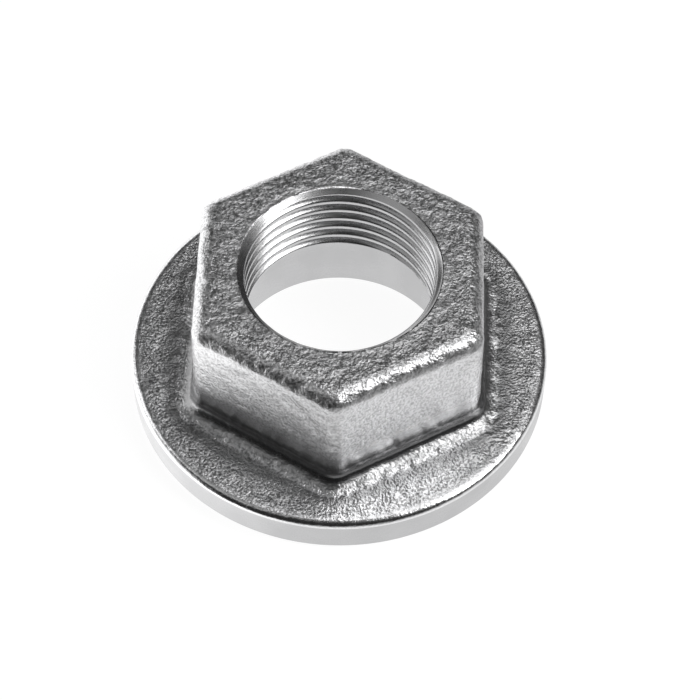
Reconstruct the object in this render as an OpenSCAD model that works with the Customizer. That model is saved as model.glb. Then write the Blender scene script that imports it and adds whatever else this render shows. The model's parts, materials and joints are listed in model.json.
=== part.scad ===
// Hull nut: a cast hexagon nut on a wide round flange. The flange seats against the inside of a hull,
// and the threaded tail of a through-hull fitting comes up through the bore.
// Millimetres, +Z up. The origin is the centre of the seating face, on the axis of the bore, and two of
// the hexagon's corners lie on the Y axis.

/* [Flange] */
// Diameter of the flange
flange_d = 70; // [66:0.5:90]
// Thickness of the flange
flange_t = 6.8; // [5:0.1:10]
// Radius of the round on the upper edge of the rim
rim_round = 1.2; // [0.4:0.1:2.5]
// Chamfer on the lower edge of the rim
rim_chamfer = 0.5; // [0.2:0.1:1.5]

/* [Hexagon] */
// Height of the nut, from the seating face to the top
nut_h = 28.5; // [25:0.1:36]
// Spanner size across the flats, at the top
across_flats = 46.2; // [44:0.1:52]
// Lean of the cast walls, in degrees
draft = 1.3; // [0:0.1:3]
// Radius of the upright corners
corner_r = 2.7; // [1:0.1:4]
// Radius of the round on the top edge
top_round = 2.6; // [0.8:0.1:3]
// Radius of the fillet where the walls meet the flange
base_fillet = 3; // [1.5:0.1:5]

/* [Bore] */
// Minor diameter of the pipe thread
thread_minor_d = 30.9; // [28:0.1:33]
// Width of the lip cut at the mouth of the thread
mouth_width = 1; // [0.3:0.1:2]
// Depth of that lip
mouth_depth = 0.5; // [0.2:0.1:2]
// Chamfer at the inner end of the thread
thread_lead = 0.5; // [0.2:0.1:1.5]
// Diameter of the plain counterbore in the underside
counterbore_d = 38; // [37:0.1:42]
// Depth of the counterbore
counterbore_depth = 14.5; // [10:0.1:20]
// Chamfer at the edge of the counterbore
counterbore_chamfer = 0.5; // [0.2:0.1:1.5]

/* [Hidden] */

// Smoothness of the revolved surfaces, and straight steps in each rounded stretch of the hexagon
$fn = 128;
corner_steps = 8;
round_steps = 8;
fillet_steps = 8;

// The hexagon
sides = 6;
side_angle = 360 / sides;
top_apothem = across_flats / 2;
metal = "silver";

// How far a cutting shape runs past the face that it opens, and how deep the hexagon's foot is set
cut_past = 1;
foot_depth = flange_t / 2;
// The fillet dips this far into the flange, so that the two surfaces cross and don't just touch
fillet_dip = 0.04;

flange_r = flange_d / 2;
thread_r = thread_minor_d / 2;
counterbore_r = counterbore_d / 2;
mouth_r = thread_r + mouth_width;
mouth_slope = mouth_width / mouth_depth;

// Distance from the axis to a wall's middle, at the height z
function wall_apothem(z) = top_apothem + (nut_h - z) * tan(draft);

// Radius of the hexagon's corners where its outline has grown to the given apothem
function corner_radius(apothem) = corner_r + max(0, apothem - top_apothem);

// Distance from the axis to a corner's outermost point
function corner_reach(apothem) =
    let (r = corner_radius(apothem)) (apothem - r) / cos(side_angle / 2) + r;

// The fillet keeps its radius unless the flange leaves less room than that beside a corner
fillet_r = min(base_fillet, flange_r - rim_round - corner_reach(wall_apothem(flange_t)));

// Centres of the two arcs in the hexagon's upright section, each tangent to the leaning wall
fillet_z = flange_t + fillet_r - fillet_dip;
fillet_x = wall_apothem(fillet_z) + fillet_r / cos(draft);
round_z = nut_h - top_round;
round_x = wall_apothem(round_z) - top_round / cos(draft);

// Points on an arc in the upright section, as [apothem, height]
function arc(x, z, r, from, to, steps) =
    [for (i = [0:steps]) let (a = from + (to - from) * i / steps) [x + r * cos(a), z + r * sin(a)]];

// The upright section: the foot inside the flange, the fillet, the wall and the round on the top edge
hex_section = concat(
    [[fillet_x, flange_t - foot_depth]],
    arc(fillet_x, fillet_z, fillet_r, 270, 180 + draft, fillet_steps),
    arc(round_x, round_z, top_round, draft, 90, round_steps)
);

// A hexagon with rounded corners at the height z, from the corner on the -Y axis round to its start
function hex_ring(apothem, z) =
    let (r = corner_radius(apothem), centre = (apothem - r) / cos(side_angle / 2))
    [for (side = [0:sides - 1], step = [0:corner_steps])
        let (middle = side * side_angle - 90, a = middle - side_angle / 2 + side_angle * step / corner_steps)
        [centre * cos(middle) + r * cos(a), centre * sin(middle) + r * sin(a), z]];

// A solid through rings that have the same number of points, in order from the bottom up
module loft(rings) {
    n = len(rings[0]);
    last = len(rings) - 1;
    polyhedron(
        points = [for (ring = rings) each ring],
        faces = concat(
            [[for (j = [0:n - 1]) j]],
            [for (i = [0:last - 1], j = [0:n - 1])
                let (k = (j + 1) % n) [i * n + j, (i + 1) * n + j, (i + 1) * n + k, i * n + k]],
            [[for (j = [n - 1:-1:0]) last * n + j]]
        )
    );
}

// The cast hexagon, solid, with the foot that joins it to the flange
module hexagon() {
    loft([for (s = hex_section) hex_ring(s[0], s[1])]);
}

// The turned flange, solid
module flange() {
    rotate_extrude() {
        polygon([
            [0, 0],
            [flange_r - rim_chamfer, 0],
            [flange_r, rim_chamfer],
            [flange_r, flange_t - rim_round],
            [flange_r - rim_round, flange_t],
            [0, flange_t]
        ]);
        translate([flange_r - rim_round, flange_t - rim_round]) circle(rim_round);
    }
}

// Everything cut out along the axis: counterbore, thread at its minor diameter, its lip and the chamfers
module bore() {
    rotate_extrude() polygon([
        [0, -cut_past],
        [counterbore_r + counterbore_chamfer + cut_past, -cut_past],
        [counterbore_r, counterbore_chamfer],
        [counterbore_r, counterbore_depth],
        [thread_r + thread_lead, counterbore_depth],
        [thread_r, counterbore_depth + thread_lead],
        [thread_r, nut_h - mouth_depth],
        [mouth_r + mouth_slope * cut_past, nut_h + cut_past],
        [0, nut_h + cut_past]
    ]);
}

module hull_nut() {
    color(metal) difference() {
        union() {
            flange();
            hexagon();
        }
        bore();
    }
}

hull_nut();
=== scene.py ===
"""A cast hull nut: blasted hexagon and flange, turned rim and seat, and a cut pipe thread in the bore."""

import json
import logging
import math
from dataclasses import dataclass, field
from enum import Enum
from typing import Any, Union

import bpy
from mathutils import Matrix, Vector


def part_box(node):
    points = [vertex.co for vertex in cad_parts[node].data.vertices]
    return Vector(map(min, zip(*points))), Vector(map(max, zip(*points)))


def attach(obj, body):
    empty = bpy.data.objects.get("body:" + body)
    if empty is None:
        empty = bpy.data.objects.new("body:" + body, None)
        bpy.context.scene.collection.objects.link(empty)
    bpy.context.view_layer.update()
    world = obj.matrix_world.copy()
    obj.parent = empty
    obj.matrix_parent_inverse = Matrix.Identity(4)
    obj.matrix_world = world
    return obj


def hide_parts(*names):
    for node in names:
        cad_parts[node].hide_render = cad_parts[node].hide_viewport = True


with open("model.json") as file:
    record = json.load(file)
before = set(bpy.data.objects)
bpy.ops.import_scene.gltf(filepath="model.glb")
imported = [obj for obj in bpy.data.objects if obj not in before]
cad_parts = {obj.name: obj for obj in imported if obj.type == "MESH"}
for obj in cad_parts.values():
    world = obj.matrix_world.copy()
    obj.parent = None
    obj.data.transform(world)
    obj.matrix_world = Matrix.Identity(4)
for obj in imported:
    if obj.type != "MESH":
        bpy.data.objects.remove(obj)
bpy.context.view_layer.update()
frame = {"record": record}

BODY = "root"
NODE = "hull_nut"
MM = 0.001
SIDES = 6
SECTOR = 2 * math.pi / SIDES

# Names of what the nut's mesh carries: its UV map, and the numbers that its skin and its finishes follow
BAKE_MAP = "OFBake"
GRAIN_MAP = "grain"
# The next name carries painted shade: darkening painted into the tone in the fillets, at the foot of the walls and on
# the flange beside them
PAINTED_SHADE_MAP = "scale"
KNOB_MAP = "knobs"
FINISH_MAP = "surface"

# Added before rounding down, so that a place a hair below a whole row or column counts as that one
SNAP = 0.001
# Points nearer than this become one
WELD = 0.002 * MM
# Edges that fold more than this stay sharp
SHARP_FOLD = math.radians(38)
# How far apart two patterns are read for each step of their seed, in millimetres
SEED_STEPS = (37, 53, 71)
# Steel is a trace bluer than grey
BLUE_CAST = 1.01

log = logging.getLogger("hull_nut")


class Finish(Enum):
    """The surfaces of the nut, in the order of its material slots."""

    CAST = 0
    TURNED = 1
    THREAD = 2


Number = Union[float, "Value"]
Settings = dict[str, Any]
Inputs = dict[Any, Any]


@dataclass(frozen=True)
class Value:
    """A number on an output socket. Arithmetic on it adds Math nodes to its board."""

    board: "Board"
    socket: bpy.types.NodeSocket

    def math(self, operation: str, *others: Number) -> "Value":
        """Add a Math node that takes this value first.

        Args:
            operation: The Math node's operation.
            *others: The values of its other sockets.

        Returns:
            The node's result.
        """
        return self.board.math(operation, self, *others)

    def __add__(self, other: Number) -> "Value":
        """The sum."""
        return self.math("ADD", other)

    def __radd__(self, other: float) -> "Value":
        """The sum, with the number first."""
        return self.board.math("ADD", other, self)

    def __sub__(self, other: Number) -> "Value":
        """The difference."""
        return self.math("SUBTRACT", other)

    def __rsub__(self, other: float) -> "Value":
        """The difference, with the number first."""
        return self.board.math("SUBTRACT", other, self)

    def __mul__(self, other: Number) -> "Value":
        """The product."""
        return self.math("MULTIPLY", other)

    def __rmul__(self, other: float) -> "Value":
        """The product, with the number first."""
        return self.board.math("MULTIPLY", other, self)

    def __truediv__(self, other: Number) -> "Value":
        """The quotient."""
        return self.math("DIVIDE", other)

    def __rtruediv__(self, other: float) -> "Value":
        """The quotient, with the number first."""
        return self.board.math("DIVIDE", other, self)

    def __mod__(self, other: Number) -> "Value":
        """The remainder, never negative."""
        return self.math("FLOORED_MODULO", other)

    def ramp(self, low: float, high: float, smooth: bool = True) -> "Value":
        """Rise from 0 to 1 as this value goes from low to high.

        Args:
            low: The value at which the result is 0.
            high: The value at which it is 1.
            smooth: Whether the rise eases in and out.

        Returns:
            The result, held between 0 and 1.
        """
        kind = "SMOOTHSTEP" if smooth else "LINEAR"
        return self.board.value(
            "ShaderNodeMapRange",
            {"interpolation_type": kind, "clamp": True},
            {"Value": self, "From Min": low, "From Max": high},
        )


@dataclass
class Board:
    """A node tree with short ways to add to it."""

    tree: bpy.types.NodeTree

    def add(self, kind: str, settings: Settings | None = None, inputs: Inputs | None = None) -> bpy.types.Node:
        """Add a node.

        Args:
            kind: The node's type.
            settings: Its own settings, which are set first.
            inputs: What goes into its sockets, by name or place: values, sockets or constants.

        Returns:
            The node.
        """
        node = self.tree.nodes.new(kind)
        for name, setting in (settings or {}).items():
            setattr(node, name, setting)
        for key, given in (inputs or {}).items():
            socket = self._input(node, key)
            if isinstance(given, Value):
                self.tree.links.new(given.socket, socket)
            elif isinstance(given, bpy.types.NodeSocket):
                self.tree.links.new(given, socket)
            else:
                socket.default_value = given
        return node

    @staticmethod
    def _input(node: bpy.types.Node, key: Any) -> bpy.types.NodeSocket:
        """The node's input of that place, or its shown input of that name."""
        if isinstance(key, int):
            return node.inputs[key]
        return next(s for s in node.inputs if s.enabled and s.name == key)

    def out(self, kind: str, settings: Settings | None = None, inputs: Inputs | None = None,
            name: str | None = None) -> bpy.types.NodeSocket:
        """Add a node and give one of its outputs, the first shown one unless a name is given."""
        node = self.add(kind, settings, inputs)
        return next(s for s in node.outputs if s.enabled and name in (None, s.name))

    def value(self, kind: str, settings: Settings | None = None, inputs: Inputs | None = None,
              name: str | None = None) -> Value:
        """Add a node and give one of its outputs as a value."""
        return Value(self, self.out(kind, settings, inputs, name))

    def math(self, operation: str, *terms: Number) -> Value:
        """Add a Math node with these terms."""
        return self.value("ShaderNodeMath", {"operation": operation}, dict(enumerate(terms)))

    def split(self, vector: bpy.types.NodeSocket) -> tuple[Value, Value, Value]:
        """The three parts of a vector."""
        node = self.add("ShaderNodeSeparateXYZ", None, {0: vector})
        return tuple(Value(self, s) for s in node.outputs)

    def join(self, x: Number, y: Number, z: Number) -> bpy.types.NodeSocket:
        """A vector of three values."""
        return self.out("ShaderNodeCombineXYZ", None, {0: x, 1: y, 2: z})

    def towards(self, way: bpy.types.NodeSocket, aimed: Vector) -> Value:
        """Cosine of the angle between a direction and the one aimed at."""
        return self.value("ShaderNodeVectorMath", {"operation": "DOT_PRODUCT"}, {0: way, 1: aimed}, "Value")

    def surface_number(self, name: str) -> Value:
        """In a material, the number of that name on the mesh."""
        return self.value("ShaderNodeAttribute", {"attribute_name": name}, None, "Fac")

    def mesh_number(self, name: str) -> Value:
        """In a geometry tree, the number of that name on the mesh."""
        return self.value("GeometryNodeInputNamedAttribute", {"data_type": "FLOAT"}, {"Name": name})

    def moved(self, place: bpy.types.NodeSocket, seed: float) -> bpy.types.NodeSocket:
        """A place moved so far that a pattern read there looks like another one."""
        shift = tuple(seed * MM * step for step in SEED_STEPS)
        return self.out("ShaderNodeVectorMath", {"operation": "ADD"}, {0: place, 1: shift})

    def noise(self, place: bpy.types.NodeSocket, size: float, detail: float, seed: float,
              roughness: float = 0.5) -> Value:
        """Soft noise from 0 to 1.

        Args:
            place: Where it is read.
            size: How wide its lumps are, in metres.
            detail: How many finer layers it has.
            seed: Which noise it is.
            roughness: How strong the finer layers are.

        Returns:
            The noise.
        """
        inputs = {"Vector": self.moved(place, seed), "Scale": 1 / size, "Detail": detail, "Roughness": roughness}
        return self.value("ShaderNodeTexNoise", {"noise_dimensions": "3D"}, inputs, "Fac")


@dataclass(frozen=True)
class Metal:
    """A bare metal finish.

    Attributes:
        name: The material's name.
        dark: Reflectance in hollows and stained places.
        light: Reflectance on clean places.
        smooth: Least roughness.
        rough: Greatest roughness.
    """

    name: str
    dark: float
    light: float
    smooth: float
    rough: float

    def start(self) -> tuple[Board, bpy.types.NodeSocket, bpy.types.Node]:
        """Make the material.

        Returns:
            Its board, the object coordinates, and the shader that its maps feed.
        """
        material = bpy.data.materials.new(self.name)
        material.use_nodes = True
        material.node_tree.nodes.clear()
        board = Board(material.node_tree)
        place = board.out("ShaderNodeTexCoord", name="Object")
        shader = board.add("ShaderNodeBsdfPrincipled", None, {"Metallic": 1.0})
        board.add("ShaderNodeOutputMaterial", None, {"Surface": shader.outputs[0]})
        return board, place, shader

    def connect(self, board: Board, shader: bpy.types.Node, tone: Value, gloss: Value, height: Value,
                relief: float) -> bpy.types.Material:
        """Join the maps to the shader.

        Args:
            board: The material's board.
            shader: Its shader.
            tone: 0 for the dark reflectance, 1 for the light one.
            gloss: 0 for the greatest roughness, 1 for the least.
            height: Relief from 0 to 1.
            relief: What a height of 1 stands for, in metres.

        Returns:
            The finished material.
        """
        grey = self.dark + tone * (self.light - self.dark)
        colour = board.out("ShaderNodeCombineColor", None, {0: grey, 1: grey, 2: grey * BLUE_CAST})
        links = board.tree.links
        links.new(colour, shader.inputs["Base Color"])
        links.new((self.rough - gloss * (self.rough - self.smooth)).socket, shader.inputs["Roughness"])
        bump = board.out("ShaderNodeBump", None, {"Strength": 1.0, "Distance": relief, "Height": height})
        links.new(bump, shader.inputs["Normal"])
        return bpy.data.materials[self.name]


@dataclass(frozen=True)
class BlastedSkin(Metal):
    """The shot-blasted skin of the casting: sharp grain on the flat faces, softer on the walls and edges.

    Attributes:
        dent: Width of the dents that the shot leaves.
        lump: Width of the lumps under them.
        patch: Width of the paler and darker patches.
        relief: What a height of 1 stands for.
        dent_height: Height of the dents where the grain is full.
        lump_height: Height of the lumps where there is no grain.
        lump_growth: What full grain adds to that.
        pit_edge: Levels of the dents between which a dark pit turns into clean metal.
        patch_share: Share of the tone that the patches have.
        bare_tone: Tone between the lumps where there is no grain.
        bare_growth: What a lump adds to that.
        painted_shade_depth: Share of the tone that the painted shade takes away.
        dull_edge: Strengths of the grain between which the metal goes dull.
        dull_share: Share of the dullness that the dents don't change.
        dull_dents: Levels of the dents between which the rest of it comes.
    """

    dent: float = 0.44 * MM
    lump: float = 1.8 * MM
    patch: float = 9 * MM
    relief: float = 0.16 * MM
    dent_height: float = 0.8
    lump_height: float = 0.35
    lump_growth: float = 0.25
    pit_edge: tuple[float, float] = (0.36, 0.6)
    patch_share: float = 0.15
    bare_tone: float = 0.8
    bare_growth: float = 0.4
    painted_shade_depth: float = 0.8
    dull_edge: tuple[float, float] = (0.1, 0.7)
    dull_share: float = 0.75
    dull_dents: tuple[float, float] = (0.3, 0.7)

    def make(self) -> bpy.types.Material:
        """Build the material.

        Returns:
            The material.
        """
        board, place, shader = self.start()
        grain = board.surface_number(GRAIN_MAP)
        scale = board.surface_number(PAINTED_SHADE_MAP)
        dents = board.noise(place, self.dent, detail=1.0, seed=5.7, roughness=0.6)
        lumps = board.noise(place, self.lump, detail=1.0, seed=9.2)
        patches = board.noise(place, self.patch, detail=2.0, seed=1.4)
        height = dents * grain * self.dent_height + lumps * (self.lump_height + grain * self.lump_growth)
        pitted = dents.ramp(*self.pit_edge) * (1 - self.patch_share) + patches * self.patch_share
        bare = self.bare_tone + lumps * self.bare_growth
        # Painted shade: the tone is darkened where the mesh carries painted shade, in the fillets, at the foot of the
        # walls and on the flange beside them
        tone = (pitted * grain + bare * (1 - grain)) * (1 - scale * self.painted_shade_depth)
        uneven = self.dull_share + (1 - self.dull_share) * dents.ramp(*self.dull_dents)
        gloss = 1 - grain.ramp(*self.dull_edge) * uneven
        return self.connect(board, shader, tone, gloss, height, self.relief)


@dataclass(frozen=True)
class TurnedFace(Metal):
    """A lathe-turned face, with fine rings that the tool left.

    Attributes:
        feed: Distance between the rings.
        drift_feeds: Width of the unevenness across them, in feeds.
        haze: Width of the hazy patches.
        relief: What a height of 1 stands for.
        ring_height: Height of the rings.
        drift_height: Height of the unevenness.
        haze_share: Share of the tone and the gloss that the haze has, where the tool's marks have the rest.
        haze_edge: Levels of the haze between which the gloss comes.
    """

    feed: float = 0.32 * MM
    drift_feeds: float = 3
    haze: float = 6 * MM
    relief: float = 0.006 * MM
    ring_height: float = 0.6
    drift_height: float = 0.8
    haze_share: float = 0.7
    haze_edge: tuple[float, float] = (0.3, 0.75)

    def make(self) -> bpy.types.Material:
        """Build the material.

        Returns:
            The material.
        """
        board, place, shader = self.start()
        x, y, z = board.split(place)
        across = (x * x + y * y).math("SQRT") + z
        drift = board.noise(board.join(across, 0.0, 0.0), self.feed * self.drift_feeds, detail=2.0, seed=2.2)
        # A sine goes from -1 to 1, and the rings from 0 to 1
        rings = (across / self.feed * 2 * math.pi).math("SINE") * 0.5 + 0.5
        haze = board.noise(place, self.haze, detail=3.0, seed=7.5)
        marks_share = 1 - self.haze_share
        height = rings * self.ring_height + drift * self.drift_height
        tone = haze * self.haze_share + drift * marks_share
        gloss = haze.ramp(*self.haze_edge) * self.haze_share + rings * marks_share
        return self.connect(board, shader, tone, gloss, height, self.relief)


@dataclass(frozen=True)
class CutThread(Metal):
    """The cut thread, with faint tears along the turns.

    Attributes:
        tear: Width of the tears before they are drawn out.
        drawn_out: How fast the pattern goes by round the bore, where less than 1 draws the tears out.
        pressed: How fast it goes by along the bore, where more than 1 presses them together.
        haze: Width of the hazy patches.
        relief: What a height of 1 stands for.
        haze_tone: Share of the tone that the haze has, where the tears have the rest.
        haze_gloss: The same share of the gloss.
    """

    tear: float = 0.5 * MM
    drawn_out: float = 0.3
    pressed: float = 2.0
    haze: float = 5 * MM
    relief: float = 0.012 * MM
    haze_tone: float = 0.6
    haze_gloss: float = 0.5

    def make(self) -> bpy.types.Material:
        """Build the material.

        Returns:
            The material.
        """
        board, place, shader = self.start()
        x, y, z = board.split(place)
        along = board.join(x * self.drawn_out, y * self.drawn_out, z * self.pressed)
        tears = board.noise(along, self.tear, detail=3.0, seed=4.4)
        haze = board.noise(place, self.haze, detail=2.0, seed=8.8)
        tone = haze * self.haze_tone + tears * (1 - self.haze_tone)
        gloss = haze * self.haze_gloss + tears * (1 - self.haze_gloss)
        return self.connect(board, shader, tone, gloss, tears, self.relief)


def climb(row: float, start: float, rows: float) -> float:
    """Rise from 0 at a starting row to 1 so many rows on, and stay there."""
    return min(1.0, max(0.0, row - start) / rows)


@dataclass(frozen=True)
class Skin:
    """The casting's skin at one place.

    Attributes:
        grain: How strong its grain is, 0 where it is turned.
        scale: How much painted shade darkens it, standing for the shade in the corners at the foot of the walls.
        knobs: How knobbly it is, over and above its grain.
    """

    grain: float = 0.0
    scale: float = 0.0
    knobs: float = 0.0


@dataclass(frozen=True)
class CastSkin:
    """How the skin changes along each stretch of the section, by the row within that stretch.

    Attributes:
        rubbed: Grain of the edges and hollows that the shot leaves smooth.
        rim: Grain where the flange's flat begins.
        rim_rows: Rows of the flange over which its grain grows by 1.
        flange: Grain of the flange, past those rows.
        flange_painted_shade: Painted shade on the flange beside the fillet, where the walls shade it.
        foot_knobs: Knobs where the fillet meets the flange.
        wall: What a wall's grain has above a rubbed one's.
        shoulder: Grain where the round on the top edge begins.
        top_knobs: Knobs along that round.
    """

    rubbed: float = 0.1
    rim: float = 0.5
    rim_rows: int = 6
    flange: float = 1.15
    flange_painted_shade: float = 1.15
    foot_knobs: float = 1.8
    wall: float = 0.5
    shoulder: float = 0.55
    top_knobs: float = 1.5

    def on_rim(self, row: int, rows: int) -> Skin:
        """Smooth at the side of the rim, and rougher towards the flange's flat."""
        return Skin(self.rubbed + (self.rim - self.rubbed) * row / rows)

    def on_flange(self, row: int) -> Skin:
        """Rough, with painted shade and then knobs on the way in to the fillet."""
        # Painted shade on the flange close to the fillet
        scale = self.flange_painted_shade * min(climb(row, start=11, rows=8), 1 - climb(row, start=22, rows=4))
        knobs = self.foot_knobs * climb(row, start=20, rows=4)
        return Skin(min(self.flange, self.rim + row / self.rim_rows), scale, knobs)

    def in_fillet(self, row: int) -> Skin:
        """Knobbly at the foot, then smooth and darkened with painted shade."""
        grain = 1 - (1 - self.rubbed) * climb(row, start=2, rows=6)
        # Painted shade in the fillet
        scale = min(1.0, abs(row - 1) / 3)
        return Skin(grain, scale, self.foot_knobs * (1 - climb(row, start=0, rows=7)))

    def on_wall(self, row: int) -> Skin:
        """Darkened with painted shade and smooth at the foot, then grainy, and a little smoother again at the top."""
        grain = self.rubbed + self.wall * min(climb(row, start=2, rows=6), 1 - climb(row, start=23, rows=10))
        # Painted shade at the foot of the wall, fading out over five rows
        return Skin(grain, 1 - climb(row, start=0, rows=5))

    def on_top_round(self, row: int, rows: int) -> Skin:
        """Rougher towards the top, and most knobbly half way over."""
        knobs = self.top_knobs * math.sin(math.pi * climb(row, start=0, rows=10))
        return Skin(self.shoulder + (1 - self.shoulder) * row / rows, knobs=knobs)

    def on_top(self, row: int) -> Skin:
        """Rough, and smoother towards the thread's mouth."""
        return Skin(1 - climb(row, start=11, rows=22))


@dataclass(frozen=True)
class Station:
    """One point of the nut's upright section, as the ring that it becomes.

    Attributes:
        radius: The ring's radius where it is round.
        height: Its height above the seating face.
        apothem: Half the size across flats where it is a hexagon.
        corner: The hexagon's corner radius.
        roundness: 0 for the hexagon, 1 for the round.
        thread: 1 where the thread is cut.
        grain: How strong the casting's grain is here, 0 where it is turned.
        scale: How much painted shade darkens it here.
        knobs: How knobbly the casting is here.
        finish: The surface from this station to the next.
    """

    radius: float
    height: float
    apothem: float
    corner: float
    roundness: float
    thread: float
    grain: float
    scale: float
    knobs: float
    finish: Finish


STATION_NUMBERS = ("radius", "height", "apothem", "corner", "roundness", "thread", "grain", "scale", "knobs")


@dataclass
class HullNut:
    """The nut, one casting with turned faces and a cut thread.

    Attributes:
        flange_t: Thickness of the flange.
        rim_round: Round on the rim's upper edge.
        rim_chamfer: Chamfer on its lower edge.
        across_flats: Size across the flats at the top.
        draft: Lean of the walls.
        corner_r: Radius of the upright corners.
        top_round: Round on the top edge.
        base_fillet: Fillet at the foot of the walls.
        mouth_width: Width of the lip at the thread's mouth.
        mouth_depth: Depth of that lip.
        thread_lead: Chamfer at the thread's inner end.
        edge_break: Chamfer at the counterbore's edge.
        pitch: Pitch of the thread.
        thread_depth: Depth of the thread.
        turn_start: Where its crest crosses the +X axis, as a share of the pitch.
        flank: Where a flank leaves the crest and where it reaches the root, as shares of half a turn.
        side_columns: Columns of the mesh on each side of the hexagon.
        corner_columns: Share of them that a corner gets.
        corner_share: Share of the side's angle that those columns span.
        lump: Width of the lumps in the casting.
        lump_height: Their height.
        lump_sink: Share of that height by which they are sunk.
        knob: Width of the knobs along its edges.
        knob_height: Their height.
        seed: Which lumps and knobs they are.
        knob_seed: What the knobs add to that.
        seat_rows: Rows of the mesh across the seat.
        chamfer_rows: Rows on a chamfer.
        rim_rows: Rows up the rim.
        rim_round_rows: Rows on the rim's round.
        flange_rows: Rows across the flange.
        fillet_rows: Rows in the fillet.
        wall_rows: Rows up a wall.
        top_round_rows: Rows on the top edge's round.
        top_rows: Rows across the top.
        lip_rows: Rows on the lip at the thread's mouth.
        thread_rows: Rows down the thread.
        lead_rows: Rows on the chamfer at its inner end.
        shoulder_rows: Rows across the counterbore's shoulder.
        counterbore_rows: Rows down the counterbore.
        skin: How the casting's skin changes over it.
    """

    flange_t: float = 6.8 * MM
    rim_round: float = 1.2 * MM
    rim_chamfer: float = 0.5 * MM
    across_flats: float = 46.2 * MM
    draft: float = math.radians(1.3)
    corner_r: float = 2.7 * MM
    top_round: float = 2.6 * MM
    base_fillet: float = 3.0 * MM
    mouth_width: float = 1.0 * MM
    mouth_depth: float = 0.5 * MM
    thread_lead: float = 0.5 * MM
    edge_break: float = 0.5 * MM
    pitch: float = 2.209 * MM
    thread_depth: float = 1.05 * MM
    turn_start: float = 0.4435
    flank: tuple[float, float] = (0.24, 0.95)
    side_columns: int = 62
    corner_columns: float = 0.2
    corner_share: float = 0.1
    lump: float = 3.2 * MM
    lump_height: float = 0.16 * MM
    lump_sink: float = 0.15
    knob: float = 1.3 * MM
    knob_height: float = 0.13 * MM
    seed: float = 17.0
    knob_seed: float = 5.0
    seat_rows: int = 8
    chamfer_rows: int = 2
    rim_rows: int = 8
    rim_round_rows: int = 6
    flange_rows: int = 24
    fillet_rows: int = 12
    wall_rows: int = 26
    top_round_rows: int = 12
    top_rows: int = 22
    lip_rows: int = 12
    thread_rows: int = 108
    lead_rows: int = 7
    shoulder_rows: int = 3
    counterbore_rows: int = 10
    skin: CastSkin = CastSkin()
    flange_r: float = field(init=False)
    nut_h: float = field(init=False)
    thread_r: float = field(init=False)
    counterbore_r: float = field(init=False)
    counterbore_depth: float = field(init=False)

    def __post_init__(self) -> None:
        """Take the sizes that the frame gives."""
        low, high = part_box(NODE)
        self.flange_r = (high.x - low.x) / 2
        self.nut_h = high.z - low.z
        dims = {m["name"]: m["dims"] for m in frame["record"]["mounts"]}
        self.thread_r = dims["thread"]["r_mm"] * MM
        self.counterbore_r = dims["counterbore"]["r_mm"] * MM
        self.counterbore_depth = dims["counterbore"]["length_mm"] * MM + self.edge_break

    def wall(self, height: float) -> float:
        """Distance from the axis to the middle of a wall at a height."""
        return self.across_flats / 2 + (self.nut_h - height) * math.tan(self.draft)

    def round_station(self, radius: float, height: float, finish: Finish, skin: Skin = Skin(),
                      thread: float = 0.0) -> Station:
        """A station whose ring is round."""
        return Station(radius, height, radius, radius / 2, 1.0, thread, skin.grain, skin.scale,
                       skin.grain + skin.knobs, finish)

    def hex_station(self, apothem: float, height: float, skin: Skin, roundness: float = 0.0,
                    radius: float = 0.0) -> Station:
        """A station whose ring is a hexagon, or between that and the round of the given radius."""
        corner = self.corner_r + max(0.0, apothem - self.across_flats / 2)
        return Station(radius, height, apothem, corner, roundness, 0.0, skin.grain, skin.scale,
                       skin.grain + skin.knobs, Finish.CAST)

    def line(self, rows: int, start: tuple[float, float], end: tuple[float, float], finish: Finish,
             thread: float = 0.0) -> list[Station]:
        """Walk along a straight stretch of the section.

        Args:
            rows: How many stations it has.
            start: Its first radius and height.
            end: The radius and height where it ends, which get no station.
            finish: Its surface.
            thread: 1 where the thread is cut.

        Returns:
            The stations, all round.
        """
        stations = []
        for row in range(rows):
            t = row / rows
            radius = start[0] + (end[0] - start[0]) * t
            height = start[1] + (end[1] - start[1]) * t
            stations.append(self.round_station(radius, height, finish, thread=thread))
        return stations

    def base(self, fillet_x: float) -> list[Station]:
        """Walk round the flange.

        Args:
            fillet_x: Distance from the axis to where the fillet begins, in the middle of a wall.

        Returns:
            Its stations, from the inner edge of the seat outwards, up and in to the fillet.
        """
        seat_in = (self.counterbore_r + self.edge_break, 0.0)
        seat_out = (self.flange_r - self.rim_chamfer, 0.0)
        rim_foot = (self.flange_r, self.rim_chamfer)
        rim_top = (self.flange_r, self.flange_t - self.rim_round)
        path = self.line(self.seat_rows, seat_in, seat_out, Finish.TURNED)
        path += self.line(self.chamfer_rows, seat_out, rim_foot, Finish.TURNED)
        path += self.line(self.rim_rows, rim_foot, rim_top, Finish.TURNED)
        flat_r = self.flange_r - self.rim_round
        for row in range(self.rim_round_rows):
            a = math.pi / 2 * row / self.rim_round_rows
            radius = flat_r + self.rim_round * math.cos(a)
            height = rim_top[1] + self.rim_round * math.sin(a)
            path.append(self.round_station(radius, height, Finish.CAST, self.skin.on_rim(row, self.rim_round_rows)))
        for row in range(self.flange_rows):
            roundness = 1 - row / self.flange_rows
            path.append(self.hex_station(fillet_x, self.flange_t, self.skin.on_flange(row), roundness, flat_r))
        return path

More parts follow.
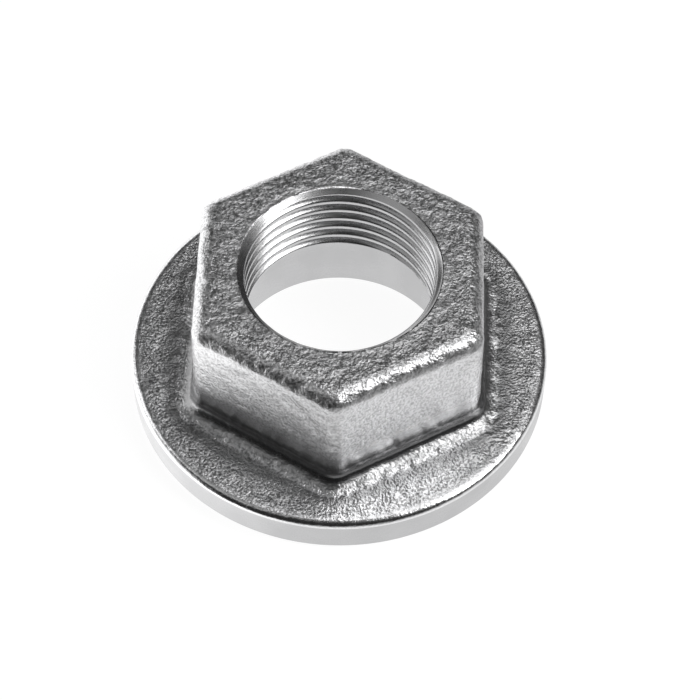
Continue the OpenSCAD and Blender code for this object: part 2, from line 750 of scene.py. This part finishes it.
    def hexagon(self, fillet_x: float, fillet_z: float) -> list[Station]:
        """Walk up the hexagon.

        Args:
            fillet_x: Distance from the axis to the centre of the fillet's arc, in the middle of a wall.
            fillet_z: Height of that centre.

        Returns:
            Its stations, from the foot of the fillet up and in to the thread's mouth.
        """
        path = []
        quarter = math.pi / 2 - self.draft
        for row in range(self.fillet_rows):
            a = math.radians(270) - quarter * row / self.fillet_rows
            apothem = fillet_x + self.base_fillet * math.cos(a)
            height = fillet_z + self.base_fillet * math.sin(a)
            path.append(self.hex_station(apothem, height, self.skin.in_fillet(row)))
        round_z = self.nut_h - self.top_round
        round_x = self.wall(round_z) - self.top_round / math.cos(self.draft)
        foot = fillet_z - self.base_fillet * math.sin(self.draft)
        head = round_z + self.top_round * math.sin(self.draft)
        for row in range(self.wall_rows):
            height = foot + (head - foot) * row / self.wall_rows
            path.append(self.hex_station(self.wall(height), height, self.skin.on_wall(row)))
        for row in range(self.top_round_rows):
            a = self.draft + quarter * row / self.top_round_rows
            apothem = round_x + self.top_round * math.cos(a)
            height = round_z + self.top_round * math.sin(a)
            path.append(self.hex_station(apothem, height, self.skin.on_top_round(row, self.top_round_rows)))
        mouth_r = self.thread_r + self.mouth_width
        for row in range(self.top_rows):
            roundness = row / self.top_rows
            path.append(self.hex_station(round_x, self.nut_h, self.skin.on_top(row), roundness, mouth_r))
        return path

    def bore(self) -> list[Station]:
        """Walk down the bore.

        Returns:
            Its stations, from the thread's mouth down to the inner edge of the seat.
        """
        mouth = (self.thread_r + self.mouth_width, self.nut_h)
        thread_top = (self.thread_r, self.nut_h - self.mouth_depth)
        thread_end = (self.thread_r, self.counterbore_depth + self.thread_lead)
        lead_end = (self.thread_r + self.thread_lead, self.counterbore_depth)
        shoulder = (lead_end[0] + self.thread_depth, self.counterbore_depth)
        counterbore_top = (self.counterbore_r, self.counterbore_depth)
        counterbore_end = (self.counterbore_r, self.edge_break)
        seat_in = (self.counterbore_r + self.edge_break, 0.0)
        path = self.line(self.lip_rows, mouth, thread_top, Finish.THREAD, thread=1.0)
        path += self.line(self.thread_rows, thread_top, thread_end, Finish.THREAD, thread=1.0)
        path += self.line(self.lead_rows, thread_end, lead_end, Finish.THREAD, thread=1.0)
        path.append(self.round_station(*lead_end, Finish.TURNED, thread=1.0))
        path += self.line(self.shoulder_rows, shoulder, counterbore_top, Finish.TURNED)
        path += self.line(self.counterbore_rows, counterbore_top, counterbore_end, Finish.TURNED)
        path += self.line(self.chamfer_rows, counterbore_end, seat_in, Finish.TURNED)
        return path

    def section(self) -> list[Station]:
        """Walk round the nut's upright section.

        Returns:
            Its stations, from the inner edge of the seat outwards, up, over the top and down the bore.
        """
        fillet_z = self.flange_t + self.base_fillet
        fillet_x = self.wall(fillet_z) + self.base_fillet / math.cos(self.draft)
        return self.base(fillet_x) + self.hexagon(fillet_x, fillet_z) + self.bore()

    def section_mesh(self, path: list[Station]) -> bpy.types.Mesh:
        """Write the stations to a mesh of loose points that carries their numbers.

        Args:
            path: The stations.

        Returns:
            The mesh.
        """
        mesh = bpy.data.meshes.new("section")
        mesh.from_pydata([(s.radius, 0.0, s.height) for s in path], [], [])
        numbers = {name: [getattr(s, name) for s in path] for name in STATION_NUMBERS}
        numbers["finish"] = [float(s.finish.value) for s in path]
        reach = [0.0]
        for here, there in zip(path, path[1:] + path[:1]):
            step = math.hypot(self.middle(there) - self.middle(here), there.height - here.height)
            reach.append(reach[-1] + step)
        numbers["along"] = [r / reach[-1] for r in reach[:-1]]
        for name, values in numbers.items():
            mesh.attributes.new(name, "FLOAT", "POINT").data.foreach_set("value", values)
        return mesh

    @staticmethod
    def middle(station: Station) -> float:
        """A station's distance from the axis in the middle of a wall."""
        return station.apothem + (station.radius - station.apothem) * station.roundness

    def sizes(self) -> dict[str, float]:
        """The sizes that the turning tree takes, by the names of its inputs."""
        return {
            "Thread Radius": self.thread_r,
            "Thread Depth": self.thread_depth,
            "Pitch": self.pitch,
            "Turn Start": self.turn_start,
            "Corner Columns": self.corner_columns,
            "Corner Share": self.corner_share,
            "Lump": self.lump,
            "Lump Height": self.lump_height,
            "Knob": self.knob,
            "Knob Height": self.knob_height,
            "Seed": self.seed,
            "Side Columns": self.side_columns,
        }

    def tree_inputs(self, tree: bpy.types.NodeTree) -> dict[str, str]:
        """Give the turning tree its sockets.

        Args:
            tree: The tree.

        Returns:
            The identifier of each input by name.
        """
        tree.interface.new_socket("Geometry", in_out="OUTPUT", socket_type="NodeSocketGeometry")
        kinds = {"Geometry": "NodeSocketGeometry"}
        kinds.update({name: "NodeSocketFloat" for name in self.sizes()})
        kinds["Side Columns"] = "NodeSocketInt"
        kinds.update({finish.name: "NodeSocketMaterial" for finish in Finish})
        names = {}
        for name, kind in kinds.items():
            names[name] = tree.interface.new_socket(name, in_out="INPUT", socket_type=kind).identifier
        return names

    @staticmethod
    def column_angle(size: dict[str, Value], column: Value) -> tuple[Value, Value]:
        """Find where a column of the mesh stands, with the columns bunched at the hexagon's corners.

        Args:
            size: The tree's sizes.
            column: The column's number.

        Returns:
            Its angle from the nearest corner, and from the +X axis.
        """
        turn = column / size["Side Columns"]
        side = turn.math("ROUND")
        off = turn - side
        part = off.math("ABSOLUTE") * 2
        share = size["Corner Share"]
        bunch = size["Corner Columns"]
        near = (part / bunch).math("MINIMUM", 1.0) * share
        far = ((part - bunch) / (1 - bunch)).math("MAXIMUM", 0.0) * (1 - share)
        lean = (near + far) * (SECTOR / 2)
        return lean, side * SECTOR - math.pi / 2 + lean * off.math("SIGN")

    @staticmethod
    def hexagon_radius(apothem: Value, corner: Value, lean: Value) -> Value:
        """Find how far a hexagon with rounded corners reaches.

        Args:
            apothem: Half its size across flats.
            corner: Its corner radius.
            lean: The angle from the nearest corner.

        Returns:
            The distance from the axis to its outline at that angle.
        """
        centre = (apothem - corner) / math.cos(SECTOR / 2)
        inside = corner * corner - (centre * lean.math("SINE")).math("POWER", 2.0)
        arc = centre * lean.math("COSINE") + inside.math("MAXIMUM", 0.0).math("SQRT")
        from_middle = SECTOR / 2 - lean
        flat = apothem / from_middle.math("COSINE")
        along_flat = from_middle.math("TANGENT") * apothem
        on_arc = along_flat.math("GREATER_THAN", (apothem - corner) * math.tan(SECTOR / 2))
        return on_arc * arc + (1 - on_arc) * flat

    def roughened(self, board: Board, size: dict[str, Value], mesh: bpy.types.NodeSocket) -> bpy.types.NodeSocket:
        """Move the casting's skin in and out.

        Args:
            board: The tree's board.
            size: The tree's sizes.
            mesh: The mesh.

        Returns:
            The mesh with its lumps and knobs.
        """
        here = board.out("GeometryNodeInputPosition")

        def noise(width: Value, shift: float) -> Value:
            """Noise from -0.5 to 0.5."""
            inputs = {"Vector": here, "W": size["Seed"] + shift, "Scale": 1 / width, "Detail": 1.0}
            return board.value("ShaderNodeTexNoise", {"noise_dimensions": "4D"}, inputs, "Fac") - 0.5

        lumps = (noise(size["Lump"], 0.0) - self.lump_sink) * size["Lump Height"] * board.mesh_number(GRAIN_MAP)
        knobs = noise(size["Knob"], self.knob_seed) * size["Knob Height"] * board.mesh_number(KNOB_MAP)
        normal = board.out("GeometryNodeInputNormal")
        # Doubled, because the noise reaches only half a height to either side
        lift = {"Vector": normal, "Scale": (lumps + knobs) * 2}
        offset = board.out("ShaderNodeVectorMath", {"operation": "SCALE"}, lift)
        return board.out("GeometryNodeSetPosition", None, {"Geometry": mesh, "Offset": offset})

    @staticmethod
    def dressed(board: Board, mesh: bpy.types.NodeSocket,
                materials: dict[Finish, bpy.types.NodeSocket]) -> bpy.types.NodeSocket:
        """Shade the mesh and give each surface its material.

        Args:
            board: The tree's board.
            mesh: The mesh.
            materials: The input that holds each surface's material.

        Returns:
            The finished mesh.
        """
        mesh = board.out("GeometryNodeSetShadeSmooth", {"domain": "FACE"}, {"Geometry": mesh, "Shade Smooth": True})
        fold = board.value("GeometryNodeInputMeshEdgeAngle", None, None, "Unsigned Angle")
        sharp = fold.math("GREATER_THAN", SHARP_FOLD)
        mesh = board.out("GeometryNodeSetShadeSmooth", {"domain": "EDGE"},
                         {"Geometry": mesh, "Selection": sharp, "Shade Smooth": False})
        mesh = board.out("GeometryNodeRealizeInstances", None, {"Geometry": mesh})
        surface = board.mesh_number(FINISH_MAP)
        for finish, material in materials.items():
            chosen = surface.math("COMPARE", float(finish.value), 0.5)
            mesh = board.out("GeometryNodeSetMaterial", None,
                             {"Geometry": mesh, "Selection": chosen, "Material": material})
        return mesh

    def turning_tree(self) -> tuple[bpy.types.NodeTree, dict[str, str]]:
        """Build the tree that turns the section round the axis, cuts the thread and roughens the skin.

        Returns:
            The tree, and the identifier of each of its inputs by name.
        """
        tree = bpy.data.node_groups.new("turn_nut", "GeometryNodeTree")
        names = self.tree_inputs(tree)
        board = Board(tree)
        given = board.add("NodeGroupInput").outputs
        size = {name: Value(board, given[name]) for name in self.sizes()}
        section = given["Geometry"]

        rows = board.value("GeometryNodeAttributeDomainSize", {"component": "MESH"}, {"Geometry": section},
                           "Point Count")
        columns = size["Side Columns"] * SIDES
        sheet = {"Size X": columns, "Size Y": rows, "Vertices X": columns + 1, "Vertices Y": rows + 1}
        mesh = board.out("GeometryNodeMeshGrid", None, sheet, "Mesh")
        x, y, _ = board.split(board.out("GeometryNodeInputPosition"))
        column = (x + columns / 2 + SNAP).math("FLOOR")
        row = (y + rows / 2 + SNAP).math("FLOOR")

        def sampled(name: str) -> Value:
            """The section's number of that name at this row."""
            number = board.mesh_number(name)
            return board.value("GeometryNodeSampleIndex", {"data_type": "FLOAT", "domain": "POINT"},
                               {"Geometry": section, "Value": number, "Index": row % rows})

        def store(name: str, kind: str, domain: str, what: Any) -> bpy.types.NodeSocket:
            """The mesh with a number kept on it under a name."""
            return board.out("GeometryNodeStoreNamedAttribute", {"data_type": kind, "domain": domain},
                             {"Geometry": mesh, "Name": name, "Value": what})

        lean, angle = self.column_angle(size, column)
        hexagon = self.hexagon_radius(sampled("apothem"), sampled("corner"), lean)
        smooth = hexagon + (sampled("radius") - hexagon) * sampled("roundness")
        height = sampled("height")
        # Half a turn is added so that the ridge is 0 on the crest and 1 in the root
        turns = height / size["Pitch"] - angle / (2 * math.pi) - size["Turn Start"] + 0.5
        ridge = (turns.math("FRACT") * 2 - 1).math("ABSOLUTE")
        groove = ridge.ramp(*self.flank)
        cut = (size["Thread Radius"] + groove * size["Thread Depth"]) * sampled("thread")
        radius = smooth.math("MAXIMUM", cut)
        place = board.join(radius * angle.math("COSINE"), radius * angle.math("SINE"), height)

        # The last row closes the sheet on the first, and its place on the UV map is the far edge
        last = row.math("GREATER_THAN", rows - 0.5)
        along = sampled("along") * (1 - last) + last
        mesh = store(FINISH_MAP, "FLOAT", "FACE", sampled("finish"))
        # The grain, the knobs and the painted shade ride on the mesh
        for name in (GRAIN_MAP, KNOB_MAP, PAINTED_SHADE_MAP):
            mesh = store(name, "FLOAT", "POINT", sampled(name))
        mesh = store(BAKE_MAP, "FLOAT2", "CORNER", board.join(column / columns, along, 0.0))
        mesh = board.out("GeometryNodeSetPosition", None, {"Geometry": mesh, "Position": place})
        mesh = board.out("GeometryNodeMergeByDistance", None, {"Geometry": mesh, "Distance": WELD})
        mesh = self.roughened(board, size, mesh)
        mesh = self.dressed(board, mesh, {finish: given[finish.name] for finish in Finish})
        board.add("NodeGroupOutput", None, {0: mesh})
        return tree, names

    def build(self, finishes: dict[Finish, bpy.types.Material]) -> bpy.types.Object:
        """Make the nut's mesh.

        Args:
            finishes: The material of each surface.

        Returns:
            The nut, riding on its body in place of the solid.
        """
        path = self.section()
        nut = bpy.data.objects.new("nut_casting", self.section_mesh(path))
        bpy.context.scene.collection.objects.link(nut)
        tree, names = self.turning_tree()
        turning = nut.modifiers.new("turning", "NODES")
        turning.node_group = tree
        settings: Settings = dict(self.sizes())
        settings.update({finish.name: material for finish, material in finishes.items()})
        for name, setting in settings.items():
            turning[names[name]] = setting
        bpy.context.view_layer.update()
        evaluated = nut.evaluated_get(bpy.context.evaluated_depsgraph_get())
        mesh = bpy.data.meshes.new_from_object(evaluated)
        nut.modifiers.clear()
        nut.data = mesh
        mesh.name = "nut_casting"
        for name in (FINISH_MAP, KNOB_MAP):
            mesh.attributes.remove(mesh.attributes[name])
        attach(nut, BODY)
        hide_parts(NODE)
        log.info("nut_casting: %d stations, %d faces", len(path), len(mesh.polygons))
        return nut


def aim(azimuth: float, elevation: float) -> Vector:
    """The direction at an azimuth from +X towards +Y and an elevation, both in degrees."""
    a, e = math.radians(azimuth), math.radians(elevation)
    return Vector((math.cos(a) * math.cos(e), math.sin(a) * math.cos(e), math.sin(e)))


@dataclass(frozen=True)
class Softbox:
    """A plain soft lamp.

    Attributes:
        name: The lamp's name.
        azimuth: Where it stands, in degrees from +X towards +Y.
        elevation: How high, in degrees.
        distance: How far from the nut, in metres.
        width: Its width, in metres.
        height: Its height, in metres.
        brightness: How bright its face is, where 1 is the white of the picture.
    """

    name: str
    azimuth: float
    elevation: float
    distance: float
    width: float
    height: float
    brightness: float

    def build(self, target: Vector) -> bpy.types.Object:
        """Set the lamp up.

        Args:
            target: What it faces.

        Returns:
            The lamp.
        """
        lamp = bpy.data.lights.new(self.name, "AREA")
        lamp.shape = "RECTANGLE"
        lamp.size, lamp.size_y = self.width, self.height
        lamp.energy = self.brightness * math.pi * self.width * self.height
        obj = bpy.data.objects.new(self.name, lamp)
        bpy.context.scene.collection.objects.link(obj)
        away = aim(self.azimuth, self.elevation)
        obj.location = target + away * self.distance
        obj.rotation_euler = away.to_track_quat("Z", "Y").to_euler()
        log.info("lamp %s", self.name)
        return obj


@dataclass(frozen=True)
class Glow:
    """A soft round glow on the dome.

    Attributes:
        azimuth: Where it is, in degrees from +X towards +Y.
        elevation: How high, in degrees.
        brightness: How bright its middle is, where 1 is the white of the picture.
        edge: Cosines of the angles from its middle at which it starts and at which it is full.
    """

    azimuth: float
    elevation: float
    brightness: float
    edge: tuple[float, float]

    def light(self, board: Board, way: bpy.types.NodeSocket) -> Value:
        """What it adds to the dome in a direction."""
        return board.towards(way, aim(self.azimuth, self.elevation)).ramp(*self.edge) * self.brightness


@dataclass(frozen=True)
class Studio:
    """A white floor in a dark room, with soft lamps and glows. Lengths are in metres, and a brightness of 1 is white.

    The eye sees the floor white. Metal mirrors it pale near the nut, paler behind it to the left and dark elsewhere.

    Attributes:
        floor_half: Half the floor's width.
        floor_grey: The floor's reflectance.
        floor_glow: How bright the eye sees it.
        shadow: Share of its white that takes the nut's shadow.
        near_floor: How bright the floor near the nut is in the metal.
        front_left: What it has more at the front left.
        ring: What it has more still in the outer ring there.
        ring_edge: Radii between which that ring begins.
        near_edge: Radii between which the near floor ends.
        half_way: Distance over which the floor changes from front to back and from left to right.
        dark_side: How bright the dark side of the far floor is.
        dark_right: What it has more on the right.
        bright_side: How bright the bright side of the far floor is.
        bright_right: What it has less on the right.
        bright_azimuth: Where the middle of the bright side is, in degrees from +X towards +Y.
        side_blend: Half the distance over which the two sides meet.
        room: How bright the room is.
        glows: The glows on the dome.
        sweep: How bright the low sweep at the back is.
        sweep_azimuth: Where its middle is, in degrees from +X towards +Y.
        sweep_edge: Cosines of the angles from its middle at which it starts and at which it is full.
        sweep_top: Heights on a dome of radius 1 between which it fades.
        lamps: The lamps.
    """

    floor_half: float = 3.0
    floor_grey: float = 0.8
    floor_glow: float = 1.17
    shadow: float = 0.2
    near_floor: float = 0.9
    front_left: float = 0.5
    ring: float = 0.4
    ring_edge: tuple[float, float] = (0.038, 0.048)
    near_edge: tuple[float, float] = (0.048, 0.06)
    half_way: float = 0.039
    dark_side: float = 0.04
    dark_right: float = 0.3
    bright_side: float = 1.5
    bright_right: float = 0.9
    bright_azimuth: float = 121.0
    side_blend: float = 0.02
    room: float = 0.02
    glows: tuple[Glow, ...] = (
        Glow(azimuth=58.0, elevation=72.0, brightness=2.83, edge=(0.96, 0.99)),
        Glow(azimuth=198.0, elevation=60.0, brightness=0.48, edge=(0.92, 0.98)),
    )
    sweep: float = 1.2
    sweep_azimuth: float = 138.0
    sweep_edge: tuple[float, float] = (0.2, 0.8)
    sweep_top: tuple[float, float] = (0.15, 0.36)
    lamps: tuple[Softbox, ...] = (
        Softbox("key_lamp", azimuth=-13.0, elevation=46.0, distance=0.9, width=0.42, height=0.62, brightness=5.0),
        Softbox("fill_lamp", azimuth=165.0, elevation=30.0, distance=0.9, width=0.5, height=0.44, brightness=1.5),
    )

    def build(self, target: Vector) -> None:
        """Set up the floor, the dome and the lamps.

        Args:
            target: What the lamps face.
        """
        self.floor()
        self.dome()
        for lamp in self.lamps:
            lamp.build(target)

    def mirrored_floor(self, board: Board) -> Value:
        """Work out how bright metal sees the floor.

        Args:
            board: The floor material's board.

        Returns:
            The brightness.
        """
        place = board.out("ShaderNodeTexCoord", name="Object")
        away = board.value("ShaderNodeVectorMath", {"operation": "LENGTH"}, {0: place}, "Value")
        x, behind, _ = board.split(place)
        front = 1 - behind.ramp(-self.half_way, self.half_way)
        right = x.ramp(-self.half_way, 0.0)
        bright = aim(self.bright_azimuth, 0.0)
        lit = (x * bright.x + behind * bright.y).ramp(-self.side_blend, self.side_blend)
        far_dark = (1 - lit) * (self.dark_side + right * self.dark_right)
        far_bright = lit * (self.bright_side - right * self.bright_right)
        outside = away.ramp(*self.near_edge)
        ring = away.ramp(*self.ring_edge)
        near = self.near_floor + front * (1 - right) * (self.front_left + ring * self.ring)
        return near * (1 - outside) + outside * (far_dark + far_bright)

    def floor(self) -> bpy.types.Object:
        """Lay the floor, white to the eye, with the nut's shadow on it.

        Returns:
            The floor.
        """
        half = self.floor_half
        corners = [(-half, -half, 0), (half, -half, 0), (half, half, 0), (-half, half, 0)]
        mesh = bpy.data.meshes.new("floor")
        mesh.from_pydata(corners, [], [(0, 1, 2, 3)])
        floor = bpy.data.objects.new("floor", mesh)
        bpy.context.scene.collection.objects.link(floor)
        material = bpy.data.materials.new("floor_white")
        material.use_nodes = True
        material.node_tree.nodes.clear()
        board = Board(material.node_tree)
        path = board.add("ShaderNodeLightPath").outputs
        camera = Value(board, path["Is Camera Ray"])
        mirrored = Value(board, path["Is Glossy Ray"]).math("MAXIMUM", Value(board, path["Is Transmission Ray"]))
        strength = camera * self.floor_glow + mirrored * self.mirrored_floor(board)
        grey = (self.floor_grey, self.floor_grey, self.floor_grey, 1.0)
        matt = board.out("ShaderNodeBsdfDiffuse", None, {"Color": grey})
        glow = board.out("ShaderNodeEmission", None, {"Strength": strength})
        share = camera * (1 - self.shadow) + mirrored
        mixed = board.out("ShaderNodeMixShader", None, {0: share, 1: matt, 2: glow})
        board.add("ShaderNodeOutputMaterial", None, {"Surface": mixed})
        mesh.materials.append(material)
        log.info("floor")
        return floor

    def dome(self) -> None:
        """Light the room: dark with soft glows and a low sweep at the back, and white to the eye."""
        world = bpy.data.worlds.new("studio")
        bpy.context.scene.world = world
        world.use_nodes = True
        world.node_tree.nodes.clear()
        board = Board(world.node_tree)
        way = board.out("ShaderNodeTexCoord", name="Generated")
        rear = board.towards(way, aim(self.sweep_azimuth, 0.0))
        _, _, up = board.split(way)
        light = self.room + rear.ramp(*self.sweep_edge) * (1 - up.ramp(*self.sweep_top)) * self.sweep
        for glow in self.glows:
            light = light + glow.light(board, way)
        camera = Value(board, board.add("ShaderNodeLightPath").outputs["Is Camera Ray"])
        strength = camera + (1 - camera) * light
        shade = board.out("ShaderNodeBackground", None, {"Strength": strength})
        board.add("ShaderNodeOutputWorld", None, {"Surface": shade})
        log.info("dome")


@dataclass(frozen=True)
class PhotoCamera:
    """The photograph's viewpoint, found by fitting the nut's circles and edges.

    Attributes:
        elevation: How steeply it looks down, in degrees.
        turn: How far it stands to the right of the front corner, in degrees.
        roll: How far it leans, in degrees.
        distance: How far it is from the seat's centre along its view, in metres.
        right: How far the view is moved to the right of that centre, in metres.
        up: How far it is moved up, in metres.
        lens: Focal length, in millimetres.
        sensor: Width of the sensor, in millimetres.
        near_clip: Distance from which it sees, in metres.
    """

    elevation: float = 54.97
    turn: float = 0.93
    roll: float = 1.06
    distance: float = 378.0 * MM
    right: float = 1.89 * MM
    up: float = 3.16 * MM
    lens: float = 113.92
    sensor: float = 36.0
    near_clip: float = 0.01

    def build(self) -> bpy.types.Object:
        """Set the camera up and make it the scene's.

        Returns:
            The camera.
        """
        data = bpy.data.cameras.new("photo_camera")
        data.sensor_width = self.sensor
        data.lens = self.lens
        data.clip_start = self.near_clip
        camera = bpy.data.objects.new("photo_camera", data)
        bpy.context.scene.collection.objects.link(camera)
        e = math.radians(self.elevation)
        back = Vector((0.0, -math.cos(e), math.sin(e)))
        side = Vector((1.0, 0.0, 0.0))
        rise = back.cross(side)
        lean = math.radians(self.roll)
        right = side * math.cos(lean) + rise * math.sin(lean)
        up = rise * math.cos(lean) - side * math.sin(lean)
        place = back * self.distance + right * self.right + up * self.up
        axes = Matrix((right, up, back)).transposed().to_4x4()
        turn = Matrix.Rotation(math.radians(self.turn), 4, "Z")
        camera.matrix_world = turn @ Matrix.Translation(place) @ axes
        bpy.context.scene.camera = camera
        log.info("camera")
        return camera


def main() -> None:
    """Build the nut, the studio and the camera."""
    logging.basicConfig(level=logging.INFO, format="%(name)s: %(message)s")
    bpy.context.scene.view_settings.view_transform = "Standard"
    PhotoCamera().build()
    finishes = {
        Finish.CAST: BlastedSkin("blasted_skin", dark=0.34, light=0.93, smooth=0.2, rough=0.39).make(),
        Finish.TURNED: TurnedFace("turned_face", dark=0.55, light=0.64, smooth=0.2, rough=0.34).make(),
        Finish.THREAD: CutThread("cut_thread", dark=0.58, light=0.74, smooth=0.2, rough=0.34).make(),
    }
    nut = HullNut()
    nut.build(finishes)
    Studio().build(Vector((0.0, 0.0, nut.nut_h / 2)))


if __name__ == "__main__":
    main()
